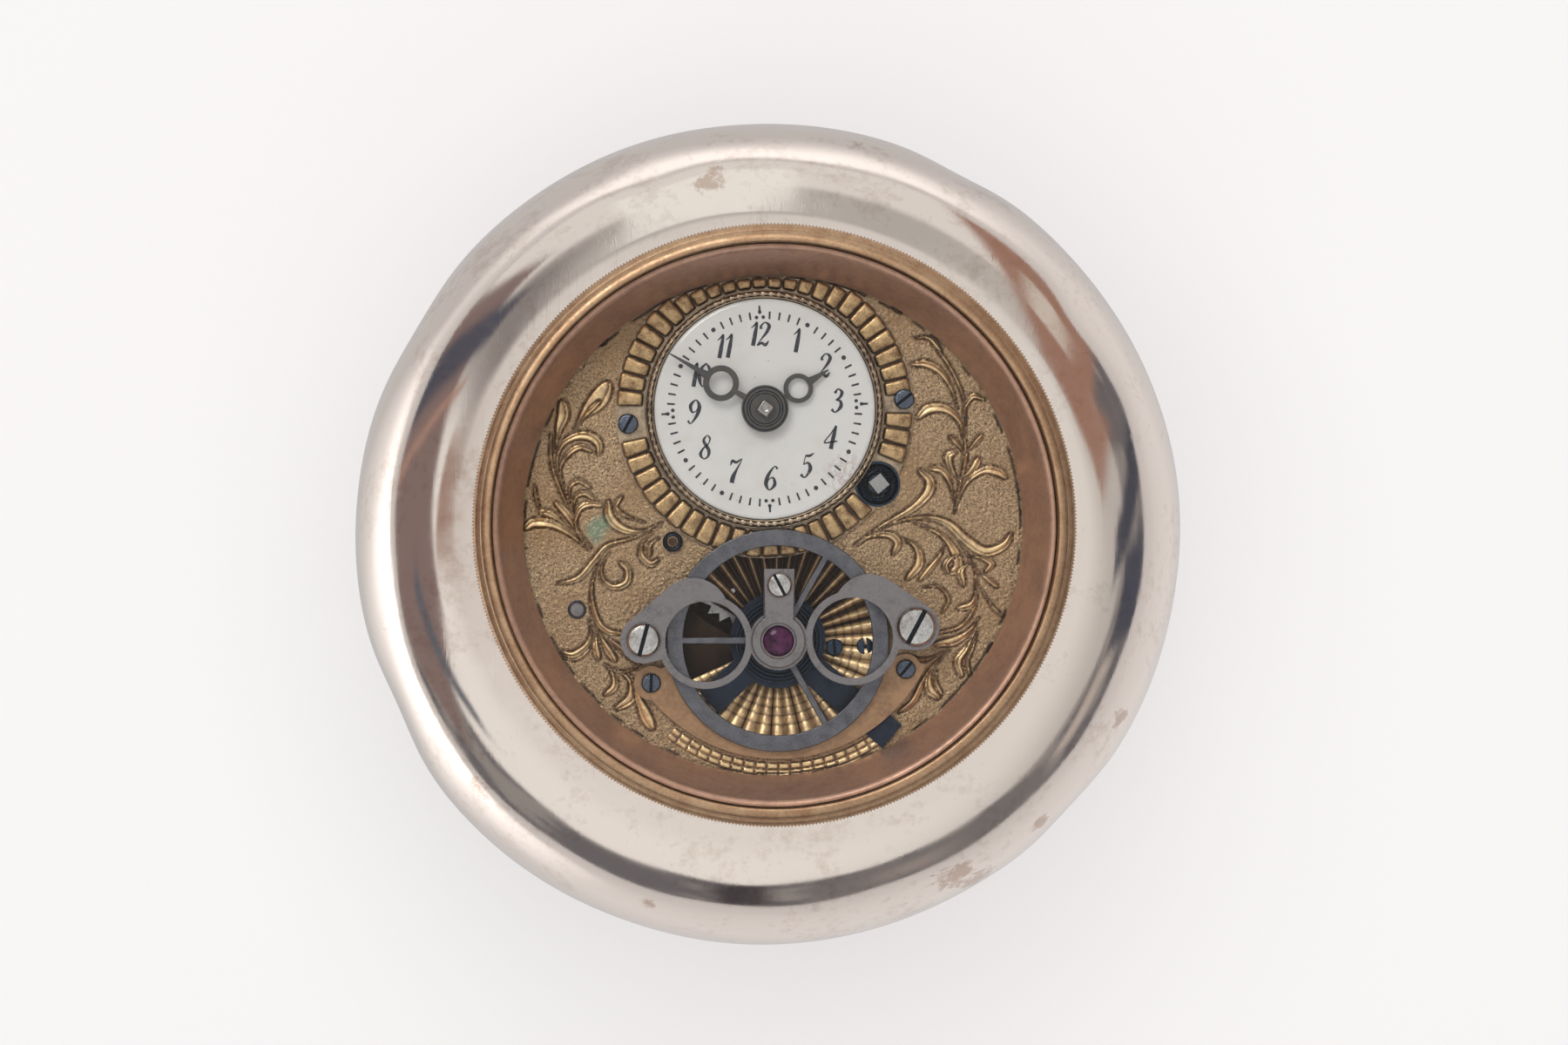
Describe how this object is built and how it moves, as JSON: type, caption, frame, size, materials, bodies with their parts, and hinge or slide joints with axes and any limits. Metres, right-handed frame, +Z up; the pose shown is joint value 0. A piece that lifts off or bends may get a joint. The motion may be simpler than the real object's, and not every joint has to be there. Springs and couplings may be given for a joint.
{
  "type": "walking stick knob watch",
  "caption": "Bun-shaped silver walking-stick knob with a key-wound watch under flat glass: gilt bezel, enamel dial, blued hands, open balance and engraved plate.",
  "frame": {"origin": "centre of the bottom face of the neck, where the knob stands on the stick", "axes": "+Z up through the glass, +Y towards twelve o'clock on the dial"},
  "size_m": [0.054, 0.054, 0.036],
  "materials": {
    "worn_silver": "worn polish with fine scratches and shallow dents",
    "gilt_brass": "worn gilt",
    "frosted_gilt": "frosted and engraved gilt",
    "copper_gilt": "satin rose gilt",
    "polished_steel": "polished",
    "grey_steel": "satin",
    "blued_steel": "heat blued",
    "white_enamel": null,
    "ruby": "polished",
    "clear_glass": "polished",
    "stick_wood": "turned hardwood"
  },
  "bodies": {
    "root": {"knob_shell": "worn_silver", "neck_collar": "worn_silver", "wood_core": "stick_wood", "case_cup": "gilt_brass", "rehaut_ring": "gilt_brass", "front_plate": "frosted_gilt", "back_plate": "frosted_gilt", "pillar_1": "gilt_brass", "pillar_2": "gilt_brass", "pillar_3": "gilt_brass", "pillar_4": "gilt_brass", "pillar_screw_1": "blued_steel", "pillar_screw_2": "blued_steel", "pillar_screw_3": "blued_steel", "pillar_screw_4": "blued_steel", "tile_ring": "gilt_brass", "dial_rope_ring": "gilt_brass", "dial": "white_enamel", "dial_screw_left": "blued_steel", "dial_screw_right": "blued_steel", "index_crescent": "copper_gilt", "crescent_screw_left": "blued_steel", "crescent_screw_right": "blued_steel", "balance_bridge": "polished_steel", "bridge_screw_left": "polished_steel", "bridge_screw_right": "polished_steel", "endstone_cap": "polished_steel", "endstone_screw": "polished_steel", "ruby_endstone": "ruby", "hairspring": "blued_steel", "hairspring_stud": "polished_steel", "balance_chariot": "gilt_brass", "chariot_screw_inner": "blued_steel", "chariot_screw_outer": "blued_steel", "fourth_wheel_bush": "gilt_brass", "winding_well_ring": "blued_steel", "click_spring": "blued_steel"},
    "bezel": {"bezel_ring": "gilt_brass", "crystal": "clear_glass", "crystal_seat_ring": "gilt_brass"},
    "minute_works": {"centre_wheel": "gilt_brass", "cannon_pinion": "polished_steel", "minute_hand": "blued_steel"},
    "hour_works": {"hour_wheel": "gilt_brass", "hour_hand": "blued_steel"},
    "minute_wheel": {"minute_wheel": "gilt_brass"},
    "barrel": {"barrel_drum": "gilt_brass", "barrel_cover": "gilt_brass", "mainspring": "grey_steel"},
    "winding": {"barrel_arbor": "polished_steel", "ratchet_wheel": "polished_steel"},
    "click": {"click": "polished_steel"},
    "third": {"third_wheel": "gilt_brass"},
    "fourth": {"fourth_wheel": "gilt_brass"},
    "escape": {"escape_wheel": "polished_steel"},
    "pallet_lever": {"pallet_lever": "polished_steel"},
    "balance": {"balance_wheel": "grey_steel", "balance_staff": "polished_steel"},
    "regulator": {"regulator_index": "blued_steel"}
  },
  "joints": [
    {"name": "bezel_lift", "type": "slide", "parent": "root", "child": "bezel", "axis": [0, 0, 1], "range_m": [0, 0.02]},
    {"name": "centre_turn", "type": "hinge", "parent": "root", "child": "minute_works", "pos_m": [-0.00055, 0.00755, 0], "axis": [0, 0, -1], "continuous": true},
    {"name": "hour_turn", "type": "hinge", "parent": "root", "child": "hour_works", "pos_m": [-0.00055, 0.00755, 0], "axis": [0, 0, -1], "continuous": true},
    {"name": "minute_wheel_turn", "type": "hinge", "parent": "root", "child": "minute_wheel", "pos_m": [-0.00304, 0.00899, 0], "axis": [0, 0, -1], "continuous": true},
    {"name": "barrel_turn", "type": "hinge", "parent": "root", "child": "barrel", "pos_m": [0.0068, 0.0027, 0], "axis": [0, 0, -1], "continuous": true},
    {"name": "third_turn", "type": "hinge", "parent": "root", "child": "third", "pos_m": [-0.0061, 0.00496, 0], "axis": [0, 0, -1], "continuous": true},
    {"name": "fourth_turn", "type": "hinge", "parent": "root", "child": "fourth", "pos_m": [-0.0065, -0.00105, 0], "axis": [0, 0, -1], "continuous": true},
    {"name": "escape_turn", "type": "hinge", "parent": "root", "child": "escape", "pos_m": [-0.00258, -0.00422, 0], "axis": [0, 0, -1], "continuous": true},
    {"name": "winding_turn", "type": "hinge", "parent": "root", "child": "winding", "pos_m": [0.0068, 0.0027, 0], "axis": [0, 0, -1], "continuous": true},
    {"name": "click_swing", "type": "hinge", "parent": "root", "child": "click", "pos_m": [0.0086, -0.00042, 0], "axis": [0, 0, -1], "range_deg": [0, 12], "stiffness_Nm_per_rad": 0.0001, "springref_deg": -5.73},
    {"name": "pallet_rock", "type": "hinge", "parent": "root", "child": "pallet_lever", "pos_m": [-0.00092, -0.00609, 0], "axis": [0, 0, 1], "range_deg": [-6, 6]},
    {"name": "balance_swing", "type": "hinge", "parent": "root", "child": "balance", "pos_m": [0.0003, -0.00745, 0], "axis": [0, 0, 1], "range_deg": [-150, 150], "stiffness_Nm_per_rad": 0.0000011},
    {"name": "regulator_turn", "type": "hinge", "parent": "root", "child": "regulator", "pos_m": [0.0003, -0.00745, 0], "axis": [0, 0, -1], "range_deg": [0, 85]}
  ],
  "couplings": [
    {"joint": "hour_turn", "follows": "centre_turn", "ratio": 0.083333},
    {"joint": "minute_wheel_turn", "follows": "centre_turn", "ratio": -0.33333},
    {"joint": "barrel_turn", "follows": "centre_turn", "ratio": -0.13333},
    {"joint": "third_turn", "follows": "centre_turn", "ratio": -8},
    {"joint": "fourth_turn", "follows": "centre_turn", "ratio": 60},
    {"joint": "escape_turn", "follows": "centre_turn", "ratio": -480}
  ]
}
